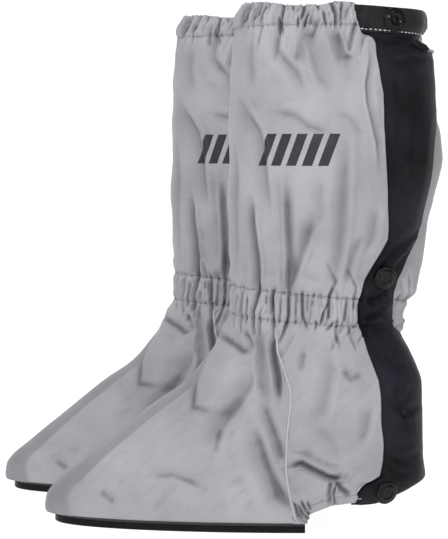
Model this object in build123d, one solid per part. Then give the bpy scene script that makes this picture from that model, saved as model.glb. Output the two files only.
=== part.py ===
from build123d import *
import os

# Pair of boot-covering gaiters, standing side by side, in millimetres.
# Each gaiter is drawn with its toe towards -X, its heel towards +X and its closing strip on the -Y side.
# The left gaiter is used as drawn; the right one is its mirror image, set beside it.

# ---- cloth layers, as depths below the outer skin of the gaiter ----
CLOTH = 2.0  # coated cloth with its lining
UNDERLAP = 4.0  # depth of the outer face of the cloth that lies under the closing strip
FIT_GAP = 0.5  # air between pieces that move past each other

# ---- closing strip ----
HINGE_X = 56.0  # where the strip folds open
FREE_EDGE_Y = -12.0  # the strip stops just short of the back of the leg
TAPE_FRONT_X = 64.0
TAPE_BACK_X = 86.0
TAPE_THICKNESS = 0.8
LEG_TAPE_HEIGHTS = (232.0, 404.0)
HEEL_TAPE_HEIGHTS = (58.0, 150.0)
TAB_THICKNESS = 1.4  # padded tab sewn on the upper end of the strip
TAB_BELOW_TOP = (27.0, 3.0)  # where the tab starts and ends, measured down from the top

# ---- hems that elastic runs in ----
CASING_CLOTH = 1.4
CASING_POCKET = 1.6
ELASTIC_PLAY = 0.2
ANKLE_ELASTIC_HEIGHTS = (178.0, 200.0)

# ---- heights ----
SOLE_TOP = 10.0
WELT_BOTTOM = 5.5
HEEL_HEM_BOTTOM = 19.0
HEEL_HEM_TOP = 28.0
HEEL_STRIP_BOTTOM = 24.0
FOOT_TOP = 162.5
LEG_BOTTOM = 212.5
STRIP_SPLIT_LOW = 165.0
STRIP_SPLIT_HIGH = 184.0
TOP_HEM_BOTTOM = 419.0
TOP = 440.0

# ---- foot ----
SIDE_SEAM_X = -7.0
SOLE_REAR_X = 4.0
SOLE_INSET = 2.5
SOLE_EDGE_CHAMFER = 1.0
WELT_GROOVE = 1.2
TREAD_MARGIN = 7.0
TREAD_DEPTH = 1.8
TREAD_COUNT = 13
TREAD_STEP = 14.0
TREAD_WIDTH = 4.0
BINDING_WIDTH = 2.8
BINDING_RISE = 1.4

# ---- the pair ----
PAIR_STEP = (-52.0, 143.0)  # where the right gaiter stands, measured from the left one

# Stations of the outer skin: height, foremost x, rearmost x, x where it is widest, half width there.
# Each level is a half ellipse to the front and a half ellipse to the rear, joined where it is widest.
LEG_STATIONS = [
    (160.0, -58.0, 84.0, 14.0, 47.0),
    (188.0, -53.0, 85.0, 16.0, 45.0),
    (212.0, -54.0, 93.0, 20.0, 49.0),
    (250.0, -56.0, 106.0, 25.0, 58.0),
    (310.0, -56.0, 117.0, 30.0, 61.0),
    (370.0, -55.0, 114.0, 29.0, 60.0),
    (420.0, -51.0, 105.0, 27.0, 53.0),
    (445.0, -43.0, 101.0, 28.0, 50.0),
]
FOOT_STATIONS = [
    (5.0, -210.0, 90.0, 4.0, 55.0),
    (20.0, -209.0, 97.0, 4.0, 56.0),
    (40.0, -197.0, 101.0, 5.0, 57.0),
    (70.0, -166.0, 102.0, 7.0, 56.0),
    (100.0, -129.0, 101.0, 10.0, 54.0),
    (135.0, -86.0, 95.0, 13.0, 50.0),
    (170.0, -56.0, 85.0, 15.0, 46.0),
]

# ---- press studs: x, height ----
TOP_SNAP = (81.0, 426.0)
ANKLE_SNAP = (73.0, 212.0)
HEEL_SNAP = (71.0, 40.0)
CAP_RADIUS = 7.5
CAP_HEIGHT = 1.8
FLANGE_RADIUS = 10.0
FLANGE_HEIGHT = 0.8
SHANK_RADIUS = 1.8
SOCKET_RADIUS = 6.0
SOCKET_BORE = 3.0
POST_RADIUS = 2.1
STUD_BASE_RADIUS = 5.5

FAR = 400.0  # larger than the gaiter in every direction


def outline_at(station, inset):
    """The outline of one station, drawn inwards by inset."""
    height, front, rear, widest, half_width = station
    centre = Plane((widest, 0, height))
    rear_half = Edge.make_ellipse(rear - widest - inset, half_width - inset, centre, 270, 90)
    front_half = Edge.make_ellipse(widest - front - inset, half_width - inset, centre, 90, 270)
    return Wire([rear_half, front_half])


def body_of(stations, inset):
    """The solid inside the skin, drawn inwards by inset."""
    return Solid.make_loft([outline_at(station, inset) for station in stations], False)


def skin(stations, outer, inner):
    """The layer between two depths below the outer skin."""
    return body_of(stations, outer) - body_of(stations, inner)


def space(x=(-FAR, FAR), y=(-FAR, FAR), z=(-FAR, 2 * FAR)):
    """A box that keeps only the given ranges."""
    size = (x[1] - x[0], y[1] - y[0], z[1] - z[0])
    centre = ((x[0] + x[1]) / 2, (y[0] + y[1]) / 2, (z[0] + z[1]) / 2)
    return Pos(*centre) * Box(*size)


def wrapped(stations, z, front_x=-FAR, outer=0.0, inner=CLOTH, outer_side=True):
    """Cloth that runs from the closing strip round the front and the inner side to the underlap.

    Without its outer side it starts at the front instead, at the centre plane.
    """
    wall = skin(stations, outer, inner)
    lap = skin(stations, UNDERLAP, UNDERLAP + CLOTH)
    step = skin(stations, outer, UNDERLAP + CLOTH)
    cloth = wall & space(x=(front_x, FAR), y=(0, FAR), z=z)
    cloth += lap & space(x=(HINGE_X + 2, FAR), y=(-FAR, 0.01), z=z)
    cloth += step & space(x=(80, FAR), y=(0, 6), z=z)
    if outer_side:
        cloth += wall & space(x=(front_x, HINGE_X - FIT_GAP), y=(-FAR, 0), z=z)
    return cloth


def casing(stations, z, outer, front_x=-FAR):
    """A folded hem and the elastic inside it: the hem has a pocket that the elastic runs in."""
    pocket = (outer + CASING_CLOTH, outer + CASING_CLOTH + CASING_POCKET)
    hem = wrapped(stations, z, front_x, outer, pocket[1] + CASING_CLOTH)
    inside = space(x=(front_x + 0.5, FAR), y=(0, FAR))
    inside += space(x=(front_x + 0.5, HINGE_X), y=(-FAR, 0))
    inside -= space(x=(78, FAR), y=(-FAR, 6.5))
    low, high = z[0] + 1.5, z[1] - 1.5
    hem -= skin(stations, *pocket) & inside & space(z=(low, high))
    run = skin(stations, pocket[0] + ELASTIC_PLAY, pocket[1] - ELASTIC_PLAY)
    ends = inside - space(x=(HINGE_X - 2, FAR), y=(-FAR, 0))
    elastic = run & ends & space(z=(low + ELASTIC_PLAY, high - ELASTIC_PLAY))
    return hem, elastic


def strip(stations, z, outer=0.0, inner=CLOTH):
    """A layer of the closing strip, from where it folds to its free edge."""
    return skin(stations, outer, inner) & space(x=(HINGE_X + FIT_GAP, FAR), y=(-FAR, FREE_EDGE_Y), z=z)


def tapes(stations, z):
    """Hook tape inside the strip, and loop tape facing it on the underlap."""
    run = space(x=(TAPE_FRONT_X, TAPE_BACK_X), y=(-FAR, FREE_EDGE_Y), z=z)
    hook = skin(stations, CLOTH, CLOTH + TAPE_THICKNESS) & run
    loop = skin(stations, UNDERLAP - TAPE_THICKNESS, UNDERLAP) & run
    return hook, loop


def skin_plane(stations, x, height):
    """A plane on the closing side of the skin, whose Z axis points straight out of it."""
    sight = Axis((x, 0, height), (0, -1, 0))
    point, normal = body_of(stations, 0).find_intersection_points(sight)[-1]
    return Plane(origin=point, z_dir=normal)


def disc(radius, low, high):
    """A disc about the Z axis, between two heights."""
    return Pos(0, 0, (low + high) / 2) * Cylinder(radius, high - low)


def snap(stations, place, lift=0.0):
    """Cap, socket and stud of one press stud; lift is what lies on the strip under the cap."""
    plane = skin_plane(stations, *place)
    dome = Pos(0, 0, lift + CAP_HEIGHT - 8.0) * Sphere(10.0) & disc(CAP_RADIUS, lift, lift + 3)
    cap = disc(FLANGE_RADIUS, lift - 0.8, lift + FLANGE_HEIGHT) + dome
    cap += disc(SHANK_RADIUS, -CLOTH, lift)
    socket = disc(SOCKET_RADIUS, -3.1, -CLOTH) - disc(SOCKET_BORE, -3.2, -CLOTH)
    stud = disc(STUD_BASE_RADIUS, -UNDERLAP - 0.6, -3.6) + disc(POST_RADIUS, -3.7, -CLOTH - 0.3)
    return [plane * piece for piece in (cap, socket, stud)]


def sole_outline(inset, height):
    """The outline of the sole at a height, drawn inwards by inset."""
    return outline_at((height, *FOOT_STATIONS[0][1:]), SOLE_INSET + inset)


def sole_slab(inset, bottom, top):
    """A flat slab with the outline of the sole, drawn inwards by inset."""
    return extrude(Face(sole_outline(inset, bottom)), top - bottom)


def sole():
    """Half sole with cross grooves in its underside, and the welt layer on it."""
    front_part = space(x=(-FAR, SOLE_REAR_X))
    levels = [(SOLE_EDGE_CHAMFER, 0), (0, SOLE_EDGE_CHAMFER), (0, WELT_BOTTOM)]
    outsole = Solid.make_loft([sole_outline(*level) for level in levels], True) & front_part
    welt = sole_slab(0, WELT_BOTTOM, SOLE_TOP) & front_part
    core = sole_slab(WELT_GROOVE, 0, SOLE_TOP)
    welt -= space(z=(WELT_BOTTOM, WELT_BOTTOM + WELT_GROOVE)) & (welt - core)
    tread = sole_slab(TREAD_MARGIN, 0, TREAD_DEPTH)
    for number in range(TREAD_COUNT):
        x = SOLE_REAR_X - TREAD_STEP * (number + 1)
        outsole -= tread & space(x=(x - TREAD_WIDTH / 2, x + TREAD_WIDTH / 2))
    return outsole, welt


def side_seam_bindings():
    """The raised binding along the seam between vamp and heel quarter, one on each side."""
    across = (SIDE_SEAM_X - BINDING_WIDTH / 2, SIDE_SEAM_X + BINDING_WIDTH / 2)
    return skin(FOOT_STATIONS, -BINDING_RISE, 0) & space(x=across, z=(SOLE_TOP + 2, FOOT_TOP - 2))


def foot_pieces():
    """Everything below the gathered ankle, apart from the closing strip."""
    upper = skin(FOOT_STATIONS, 0, CLOTH)
    front = space(x=(-FAR, SIDE_SEAM_X), z=(SOLE_TOP, FOOT_TOP))
    outsole, welt = sole()
    hem, elastic = casing(FOOT_STATIONS, (HEEL_HEM_BOTTOM, HEEL_HEM_TOP), -0.6, SOLE_REAR_X)
    quarter = (HEEL_HEM_TOP, FOOT_TOP)
    corner = space(x=(SIDE_SEAM_X, SOLE_REAR_X), z=(SOLE_TOP, HEEL_HEM_TOP))
    heel_outer = upper & space(x=(SIDE_SEAM_X, HINGE_X - FIT_GAP), y=(-FAR, 0), z=quarter)
    heel_outer += upper & corner & space(y=(-FAR, 0))
    heel_inner = wrapped(FOOT_STATIONS, quarter, SIDE_SEAM_X, outer_side=False)
    heel_inner += upper & corner & space(y=(0, FAR))
    return {
        "outsole": outsole,
        "welt": welt,
        "vamp_outer": upper & front & space(y=(-FAR, 0)),
        "vamp_inner": upper & front & space(y=(0, FAR)),
        "heel_outer": heel_outer,
        "heel_inner": heel_inner,
        "side_seam_bindings": side_seam_bindings(),
        "heel_hem": hem,
        "heel_elastic": elastic,
    }


def leg_pieces():
    """The gathered ankle and the leg above it, apart from the closing strip."""
    outer_side = space(x=(-FAR, HINGE_X - FIT_GAP), y=(-FAR, 0), z=(LEG_BOTTOM, TOP_HEM_BOTTOM))
    hem, elastic = casing(LEG_STATIONS, (TOP_HEM_BOTTOM, TOP), -0.6)
    sleeve, ankle_elastic = casing(LEG_STATIONS, (FOOT_TOP + 0.5, LEG_BOTTOM - 0.5), 0.0)
    ankle_elastic &= space(z=ANKLE_ELASTIC_HEIGHTS)
    return {
        "leg_outer": skin(LEG_STATIONS, 0, CLOTH) & outer_side,
        "leg_inner": wrapped(LEG_STATIONS, (LEG_BOTTOM, TOP_HEM_BOTTOM), outer_side=False),
        "top_hem": hem,
        "top_elastic": elastic,
        "ankle_sleeve": sleeve,
        "ankle_elastic": ankle_elastic,
    }


def strip_pieces():
    """The closing strip with its tapes and press studs, and what they close on."""
    leg_strip = strip(LEG_STATIONS, (STRIP_SPLIT_HIGH, TOP))
    tab = strip(LEG_STATIONS, (TOP - TAB_BELOW_TOP[0], TOP - TAB_BELOW_TOP[1]), -TAB_THICKNESS, 0.0)
    heel_strip = strip(FOOT_STATIONS, (HEEL_STRIP_BOTTOM, STRIP_SPLIT_LOW))
    leg_hook, leg_loop = tapes(LEG_STATIONS, LEG_TAPE_HEIGHTS)
    heel_hook, heel_loop = tapes(FOOT_STATIONS, HEEL_TAPE_HEIGHTS)
    top_cap, top_socket, top_stud = snap(LEG_STATIONS, TOP_SNAP, TAB_THICKNESS)
    ankle_cap, ankle_socket, ankle_stud = snap(LEG_STATIONS, ANKLE_SNAP)
    heel_cap, heel_socket, heel_stud = snap(FOOT_STATIONS, HEEL_SNAP)
    return {
        "leg_strip": leg_strip - top_cap - ankle_cap - top_socket - ankle_socket,
        "top_tab": tab - top_cap,
        "leg_hook_tape": leg_hook,
        "leg_loop_tape": leg_loop,
        "leg_snap_caps": Compound(children=[top_cap, ankle_cap]),
        "leg_snap_sockets": Compound(children=[top_socket, ankle_socket]),
        "leg_snap_studs": Compound(children=[top_stud, ankle_stud]),
        "heel_strip": heel_strip - heel_cap - heel_socket,
        "heel_hook_tape": heel_hook,
        "heel_loop_tape": heel_loop,
        "heel_snap_cap": heel_cap,
        "heel_snap_socket": heel_socket,
        "heel_snap_stud": heel_stud,
    }


def seat_studs(pieces):
    """Let the stud bases into the cloth that they are fixed to."""
    for stud in pieces["leg_snap_studs"].solids():
        for name in ("leg_inner", "top_hem", "ankle_sleeve"):
            pieces[name] = pieces[name] - stud
    pieces["heel_inner"] = pieces["heel_inner"] - pieces["heel_snap_stud"]


def gaiter():
    """All pieces of one gaiter, by name."""
    pieces = {**foot_pieces(), **leg_pieces(), **strip_pieces()}
    seat_studs(pieces)
    return pieces


def pair():
    """Both gaiters, with the middle of the pair's underside at the origin."""
    drawn = gaiter()
    pieces = {}
    for name, shape in drawn.items():
        solids = shape.solids()
        pieces["left_" + name] = Compound(solids)
        turned = [mirror(solid, about=Plane.XZ) for solid in solids]
        pieces["right_" + name] = Pos(*PAIR_STEP, 0) * Compound(turned)
    box = Compound(list(pieces.values())).bounding_box()
    to_origin = Pos(-box.center().X, -box.center().Y, -box.min.Z)
    return {name: to_origin * shape for name, shape in pieces.items()}, to_origin


def main():
    os.makedirs("parts", exist_ok=True)
    pieces, to_origin = pair()
    for name, shape in pieces.items():
        export_step(shape, f"parts/{name}.step")
    print("drawn origin now at", to_origin.position)


if __name__ == "__main__":
    main()
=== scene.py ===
import math

import bmesh
import bpy
import mathutils
import numpy as np
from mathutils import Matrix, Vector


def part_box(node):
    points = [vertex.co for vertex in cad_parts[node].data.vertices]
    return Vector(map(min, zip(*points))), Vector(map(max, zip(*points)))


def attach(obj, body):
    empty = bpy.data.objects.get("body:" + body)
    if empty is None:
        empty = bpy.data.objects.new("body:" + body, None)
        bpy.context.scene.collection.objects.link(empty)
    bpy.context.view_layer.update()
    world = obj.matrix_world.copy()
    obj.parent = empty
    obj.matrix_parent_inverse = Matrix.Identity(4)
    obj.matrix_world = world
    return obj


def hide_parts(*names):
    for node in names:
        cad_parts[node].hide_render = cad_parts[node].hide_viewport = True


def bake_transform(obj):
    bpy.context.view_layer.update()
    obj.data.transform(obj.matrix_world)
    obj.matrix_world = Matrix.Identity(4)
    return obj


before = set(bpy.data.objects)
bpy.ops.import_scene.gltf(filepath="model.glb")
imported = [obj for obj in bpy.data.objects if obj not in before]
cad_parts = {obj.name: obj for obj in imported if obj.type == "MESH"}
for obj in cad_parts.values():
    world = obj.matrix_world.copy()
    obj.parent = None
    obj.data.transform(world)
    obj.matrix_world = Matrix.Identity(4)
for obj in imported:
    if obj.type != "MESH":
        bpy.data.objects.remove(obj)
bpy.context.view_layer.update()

MM = 0.001
SIDES = ("left", "right")
GREY, BLACK, BINDING, ELASTIC = "grey_cloth", "black_cloth", "seam_binding", "elastic"
HOOK, LOOP, SNAP = "hook_tape", "loop_tape", "snap_plastic"
# bodies that pieces ride on; a piece given two of them is baked in place and rides on neither
LEG = ("leg",)
FOOT = ("foot",)
OVER_ANKLE = ("foot", "leg")
LEG_TO_FLAP = ("leg", "leg_flap")
FOOT_TO_FLAP = ("foot", "heel_flap")

# All shapes below are drawn for one gaiter, in millimetres: x grows from toe to heel, z upwards,
# y = 0 is its centre plane and its closing strip is on the -y side. The right gaiter is the mirror image.
SOLE_REAR_X = 6.5
# thickness of one layer, of two layers, of the gathered top hem and of an elastic
CLOTH = 0.9
DOUBLE_CLOTH = 2.0
TOP_HEM = 2.4
ELASTIC_BAND = 0.5
# heights where the pieces meet, before their seams are slanted
BAND_LOW = 173.5
BAND_HIGH = 198.0
LEG_LOW = 197.0
QUARTER_LOW = 28.0
HEEL_HEM = 20.0, 26.5
STRIP_TOP = 437.0
# the hook and loop tapes: part of the closing strip, lower and upper end, and body of the loop tape
TAPES = ("leg", 232, 404, "leg"), ("heel", 58, 150, "foot")

# ---------------------------------------------------------------- the skin of the gaiter

# height, foremost x, rearmost x, x where widest, half width
PROFILE = np.array([
    (6, -211, 89.2, 4, 52.6), (12, -213, 91.2, 4, 54), (22, -211.5, 95.2, 4, 55),
    (30, -206, 106.5, 4, 55.5), (40, -194.5, 113, 5, 55), (54, -178, 111.2, 6, 55),
    (70, -158, 110.2, 7, 54.5), (86, -138.5, 109.7, 8, 54), (100, -121, 109.2, 10, 53),
    (120, -92.5, 108.2, 12, 51.5), (134, -80.5, 104.2, 13, 50), (150, -68.5, 97.2, 14, 47.5),
    (162, -63, 91.2, 14, 46.5), (176, -54.5, 89.7, 15, 46), (190, -53, 94.2, 16, 45.5),
    (198, -53, 100.2, 17, 46), (212, -54, 105.2, 20, 50), (235, -56, 109.2, 23, 56),
    (256, -56.5, 111.7, 26, 59), (275, -57.5, 116.2, 27, 60.5), (308, -56, 123.2, 30, 61.5),
    (333, -56, 121.2, 30, 61), (353, -55.5, 118.7, 29, 60.5), (378, -55, 117.2, 29, 59),
    (398, -53.5, 116, 28, 56.2), (404.5, -53, 106, 27.5, 54.8), (410, -52, 106.4, 27, 54),
    (418, -51, 110.7, 27, 53), (426, -50, 110.2, 27, 52.5), (433, -46, 107.2, 28, 51.5),
    (440, -42, 105.2, 28, 51),
])
# height and x of the closing strip's sewn edge and free edge
STRIP_SEWN = np.array([
    (21.5, 45), (26, 46), (31, 47.5), (35.5, 49.5), (38, 54), (41, 63), (44.5, 69), (59, 71.3),
    (72, 71.9), (90, 69.6), (110, 69.6), (126, 67.5), (144, 60), (160, 55), (170, 52), (178, 49.6),
    (192, 50.4), (203, 52.9), (213, 56), (225, 62.8), (235, 69), (243, 73.2), (254, 74), (284, 73),
    (308, 71), (332, 69.2), (361, 69), (374, 66), (392, 62.8), (402, 62), (406, 59.5),
    (408.5, 55.5), (410.5, 50.3), (420, 47.3), (436, 44), (442, 43.5),
])
STRIP_FREE = np.array([
    (21.5, 72), (26, 83), (30, 94), (34, 106), (38, 114), (120, 114), (135, 108), (150, 100),
    (162, 90.6), (168, 84.7), (176, 81.7), (184, 81.7), (197, 82.2), (208, 84.7), (219, 89.7),
    (230, 95.7), (242, 101.2), (254, 105.7), (275, 109.7), (292, 113.2), (325, 116.2), (340, 119),
    (350, 124), (390, 122), (397, 114), (401, 105.7), (405, 102.2), (409, 103.2), (414, 110),
    (430, 110), (442, 107),
])
TOP_ROW_Z = 417.5
TOP_Z = 439.0
# rows over which an edge's bends are taken out of the cloth beside it, and how quickly they come back
EASED_ROWS = 14
EDGE_POWER = 16
# how deep folds are drawn, and how much deeper they are at the gathered rows
FOLD_SHARE = 0.55
GATHERED_SHARE = 0.37
# folds wider than this count for less in the painted shade
SHARP_FOLD = 2.0
# the band along the front seam: how far it stands out, and how dark the shade painted on it is
FRONT_BAND_HEIGHT = 0.7
FRONT_BAND_PAINTED_SHADE = 0.33
# the cloth under the closing strip: how far it sinks, how calm it is, how wide its slope back is, and how
# much further it sinks beside the sewn edge
UNDERLAP = 4.0
UNDERLAP_RELIEF = 0.25
UNDERLAP_RISE = 26
UNDERLAP_AT_SEAM = 5.0
# how far the closing strip reaches under the cloth that it is sewn to
TUCKED_UNDER = 3.5


def sewn_x(z):
    """Where the closing strip comes out from under the cloth that it is sewn to."""
    return np.interp(z, STRIP_SEWN[:, 0], STRIP_SEWN[:, 1])


def free_x(z):
    """Where the closing strip ends; behind the gaiter's rearmost line it ends at that line."""
    return np.interp(z, STRIP_FREE[:, 0], STRIP_FREE[:, 1])


def side_seam_x(z):
    """The seam between vamp and heel quarter."""
    return np.interp(z, [8, 30, 52, 84, 111, 120, 149, 175], [-0.5, -6, -9.6, -8.5, -5.2, -6, -15.7, -19])


def curve_through(table, column, z):
    """A smooth curve through one column of a table whose first column is height."""
    knots, values = table[:, 0], table[:, column]
    steps = np.diff(knots)
    slopes = np.diff(values) / steps
    inner = np.where(slopes[1:] * slopes[:-1] > 0,
                     2 * slopes[1:] * slopes[:-1] / (slopes[1:] + slopes[:-1] + 1e-12), 0)
    tangents = np.concatenate([[slopes[0]], inner, [slopes[-1]]])
    z = np.clip(z, knots[0], knots[-1])
    i = np.clip(np.searchsorted(knots, z) - 1, 0, len(steps) - 1)
    t = (z - knots[i]) / steps[i]
    h = steps[i]
    return ((1 + 2 * t) * (1 - t) ** 2 * values[i] + t * (1 - t) ** 2 * h * tangents[i]
            + t * t * (3 - 2 * t) * values[i + 1] + t * t * (t - 1) * h * tangents[i + 1])


def skin_at(phi, z):
    """Undisturbed skin: phi is 0 at the front, pi / 2 on the -y side, pi at the back."""
    front, rear, widest, half = (curve_through(PROFILE, k, z) for k in (1, 2, 3, 4))
    reach = np.where(np.cos(phi) > 0, widest - front, rear - widest)
    return widest - reach * np.cos(phi), -half * np.sin(phi)


def phi_of(x, z):
    """The angle on the -y side at which the skin has this x."""
    front, rear, widest = (curve_through(PROFILE, k, z) for k in (1, 2, 3))
    reach = np.where(x < widest, widest - front, rear - widest)
    return np.arccos(np.clip((widest - x) / reach, -1, 1))


def smooth(low, high, value):
    """0 below low, 1 above high, smooth between them."""
    t = np.clip((value - low) / (high - low), 0, 1)
    return t * t * (3 - 2 * t)


def upper_row(x):
    """Height of the upper stitch row of the ankle band."""
    return 197.2 - 0.085 * x


def lower_row(x):
    """Height of the lower stitch row of the ankle band."""
    return 173.9 - 0.075 * x


# ---------------------------------------------------------------- gathers and folds

def random_steps(seed, step, spread, length):
    """Places along a hem, an irregular step apart."""
    rng = np.random.default_rng(seed)
    places = [-step]
    while places[-1] < length + 2 * step:
        places.append(places[-1] + step * (1 + spread * (rng.random() - 0.5)))
    return np.array(places)


def lobes(s, places, sharpness):
    """0 in each valley between gathers and 1 on each lobe."""
    phase = np.interp(s, places, np.arange(len(places)))
    return np.abs(np.sin(math.pi * phase)) ** sharpness


def hem_gathers(s, z, seed):
    """Gathers of the top hem, and the puckers along its stitch row."""
    places = random_steps(seed, 12.0, 0.9, 300)
    fine = random_steps(seed + 1, 4.6, 0.9, 300)
    lean = s + 3.0 * np.sin(z / 11.0 + s / 30.0) + 1.2 * np.sin(s / 7.0)
    above = smooth(TOP_ROW_Z - 2, TOP_ROW_Z + 4, z)
    depth = above * (2.1 * (lobes(lean, places, 0.55) - 0.72) + 1.0 * (lobes(s, fine, 0.7) - 0.6))
    pinch = -0.9 * np.exp(-((z - TOP_ROW_Z) / 2.0) ** 2)
    pucker = 0.9 * np.exp(-((z - TOP_ROW_Z) / 6.0) ** 2) * (lobes(lean, fine, 0.8) - 0.6)
    return depth + 0.9 * above + pinch + pucker


def ankle_gathers(s, x, z, seed):
    """Gathers of the ankle band, and the puckers along its two stitch rows."""
    places = random_steps(seed, 10.5, 0.9, 300)
    fine = random_steps(seed + 1, 4.2, 0.9, 300)
    top, bottom = upper_row(x), lower_row(x)
    band = smooth(bottom - 1, bottom + 4, z) * (1 - smooth(top - 4, top + 1, z))
    lean = s + 1.5 * np.sin(z / 7.0 + s / 19.0)
    main = lobes(lean, places, 0.6) - 0.7
    small = lobes(lean, fine, 0.8) - 0.6
    rows = np.exp(-((z - top) / 1.8) ** 2) + np.exp(-((z - bottom) / 1.8) ** 2)
    near = np.exp(-((z - top) / 6.0) ** 2) + np.exp(-((z - bottom) / 6.0) ** 2)
    return (band * (1.9 * main + 0.9 * small) + near * (0.9 * main + 0.8 * small)
            + 1.4 * band - 0.7 * rows + 2.2 * np.exp(-((z - top - 8) / 6) ** 2)
            + 1.5 * np.exp(-((z - bottom + 8) / 6) ** 2))


def scattered_gathers(seed, row, up, down, step):
    """Creases in (s, z) that cross a stitch row and run up and down from it by up to the given lengths."""
    rng = np.random.default_rng(seed)
    made = []
    for place in random_steps(seed + 5, step, 0.8, 240):
        low, high, lean, kink, width, depth = rng.random(6)
        top = up * (0.15 + 0.85 * high ** 2)
        bottom = down * (0.15 + 0.85 * low ** 2)
        drift = (lean - 0.5) * 9
        line = [(place + drift, row + top), (place + (kink - 0.5) * 3, row + 0.4 * top), (place, row),
                (place - 0.5 * drift, row - bottom)]
        made.append((line, 1.0 + 1.4 * width, 0.8 + 2.2 * depth, lean - 0.5, 0.35))
    return made


def crease(x, z, points, width, depth, one_sided=0.0, lip=0.3):
    """A fold pressed into the skin along a line of (x, z) points.

    It fades at both ends. one_sided makes its left flank steeper when positive, its right when negative.
    """
    total = np.zeros_like(x)
    points = np.array(points, float)
    reach = 5 * width
    low, high = points.min(axis=0) - reach, points.max(axis=0) + reach
    near = (x > low[0]) & (x < high[0]) & (z > low[1]) & (z < high[1])
    if not near.any():
        return total
    x, z = x[near], z[near]
    nearest = np.full_like(x, 1e9)
    side = np.zeros_like(x)
    along = np.zeros_like(x)
    lengths = np.hypot(*np.diff(points, axis=0).T)
    done = 0.0
    for (x0, z0), (x1, z1), length in zip(points[:-1], points[1:], lengths):
        ux, uz = (x1 - x0) / length, (z1 - z0) / length
        t = np.clip((x - x0) * ux + (z - z0) * uz, 0, length)
        dx, dz = x - x0 - t * ux, z - z0 - t * uz
        distance = np.hypot(dx, dz)
        closer = distance < nearest
        nearest = np.where(closer, distance, nearest)
        side = np.where(closer, np.sign(dx * uz - dz * ux), side)
        along = np.where(closer, done + t, along)
        done += length
    fade = np.clip(4.5 * np.minimum(along, done - along) / done, 0.12, 1) ** 0.8
    r = nearest / (width * (1 + one_sided * side))
    total[near] = depth * fade * (lip * np.exp(-((r - 2.0) / 0.9) ** 2) - np.exp(-r ** 1.6))
    return total


# (points, width, depth, one-sided, lip); x and z in millimetres
LEG_FOLDS = [
    ([(-12, 418), (-18, 410), (-18, 397), (-13, 390), (-3, 379), (4, 362)], 3.6, 4.0, 0.3, 0.35),
    ([(6, 417), (5, 410), (0, 398), (-3, 385)], 4.4, 4.2, -0.3, 0.4),
    ([(7, 415), (12, 392), (18, 373), (29, 362)], 5.0, 3.8, -0.4, 0.3),
    ([(30, 414), (33, 404), (36, 393), (46, 389)], 3.2, 5.2, 0.5, 0.45),
    ([(-22, 348), (-4, 344), (8, 335), (25, 330)], 4.0, 3.2, 0.3, 0.35),
    ([(-51, 364), (-43, 348), (-33, 331), (-30, 318), (-27, 290), (-24, 262)], 4.6, 5.5, 0.5, 0.4),
    ([(39, 330), (38, 300), (37, 276), (36, 251), (34, 229), (30, 208), (25, 196)], 4.2, 5.2, 0.3, 0.35),
    ([(58, 400), (58, 388), (55, 370), (56, 355), (60, 338), (64, 322), (66, 300)], 2.4, 3.2, -0.5, 0.5),
    ([(66, 352), (67, 340), (68, 330)], 3.0, 1.6, 0.3, 0.3),
    ([(-38, 276), (-36, 252), (-33, 230), (-31.4, 204), (-32, 190)], 2.6, 7.5, 0.4, 0.4),
    ([(-11, 292), (-9.4, 255), (-7, 226), (-7, 207), (-8, 196)], 3.0, 6.2, -0.4, 0.4),
    ([(12, 262), (6, 240), (-1, 219), (-6, 206), (-9, 198)], 3.4, 5.0, 0.4, 0.35),
    ([(18, 292), (17, 262), (6, 243)], 4.6, 3.0, 0.3, 0.3),
    ([(-18, 300), (-15, 262), (-17, 236)], 5.5, 3.0, 0.0, 0.3),
    ([(65, 270), (62, 246), (56, 232)], 4.0, 3.2, 0.3, 0.3),
    ([(52, 246), (45, 228), (40, 206)], 3.4, 3.5, 0.3, 0.35),
    ([(-52, 330), (-50, 290), (-51, 252), (-49, 216)], 3.2, 3.2, 0.3, 0.3),
    ([(32, 348), (44, 340), (52, 326)], 4.5, 2.5, 0.2, 0.3),
    ([(-38, 408), (-40, 388), (-37, 368)], 3.6, 2.8, 0.2, 0.3),
]
HEM_FOLDS = [
    ([(-33, 440), (-39, 428), (-43, 419)], 0.9, 2.4, 0.0, 0.35),
    ([(-38, 437), (-43, 428), (-46.5, 416)], 0.8, 2.4, 0.0, 0.35),
    ([(-29, 440), (-34, 428), (-37, 417)], 1.0, 2.6, 0.0, 0.35),
    ([(-20, 440), (-24, 430)], 0.8, 2.9, 0.0, 0.35),
    ([(-15, 426), (-16, 415), (-15, 405)], 0.8, 3.2, 0.0, 0.35),
    ([(0, 424), (-1, 416)], 0.8, 2.9, 0.0, 0.35),
    ([(35, 439), (34, 428), (33, 418)], 0.9, 2.7, 0.0, 0.35),
    ([(-36, 440), (-41, 426), (-46, 416)], 1.2, 4.3, 0.4, 0.35),
    ([(-41, 434), (-45, 424)], 0.9, 2.6, 0.3, 0.3),
    ([(-25, 440), (-31, 429), (-34, 422)], 1.1, 4.6, 0.3, 0.35),
    ([(-10, 441), (-11, 431), (-14, 418), (-12.4, 409)], 1.1, 4.7, 0.3, 0.35),
    ([(-4.5, 440), (-4, 427)], 0.8, 2.6, 0.0, 0.3),
    ([(3, 441), (4.2, 428), (1.2, 419)], 1.2, 4.7, -0.3, 0.35),
    ([(9, 427), (6, 420), (4, 414)], 1.0, 3.7, 0.3, 0.35),
    ([(14.5, 441), (16.5, 427)], 0.9, 3.4, 0.3, 0.3),
    ([(19, 429), (22, 415)], 1.0, 3.0, -0.3, 0.3),
    ([(23, 441), (29, 425), (29.4, 414)], 1.2, 4.7, -0.4, 0.35),
]
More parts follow.
